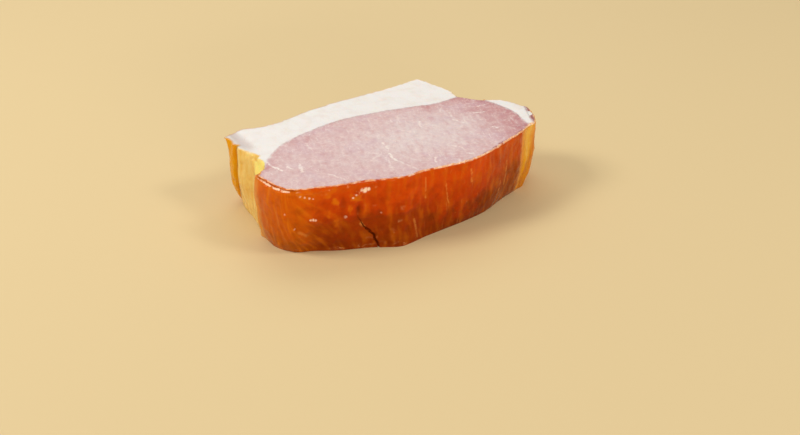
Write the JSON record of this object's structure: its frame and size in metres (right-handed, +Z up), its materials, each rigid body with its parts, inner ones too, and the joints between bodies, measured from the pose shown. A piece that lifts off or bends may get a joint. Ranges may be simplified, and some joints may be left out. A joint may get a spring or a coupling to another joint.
{
  "type": "smoked pork loin slab",
  "caption": "Thick boneless slab of smoked pork loin bacon, cut flat on both faces, with pale pink lean, a band of white back fat and a glossy orange-brown smoked rim.",
  "frame": {"origin": "under the middle of the slab's bounding box, on the plane that its lower cut face rests on", "axes": "+X along the slab's length towards the end with the fat crescent, +Y towards the back fat, +Z up, through the cut faces"},
  "size_m": [0.1402, 0.0894, 0.0326],
  "materials": {
    "lean": "satin",
    "fat": "satin",
    "end_fat": "satin",
    "outer_muscle": "satin"
  },
  "bodies": {
    "root": {"loin_muscle": "lean", "back_fat": "fat", "end_fat": "end_fat", "end_muscle": "outer_muscle"}
  },
  "joints": []
}
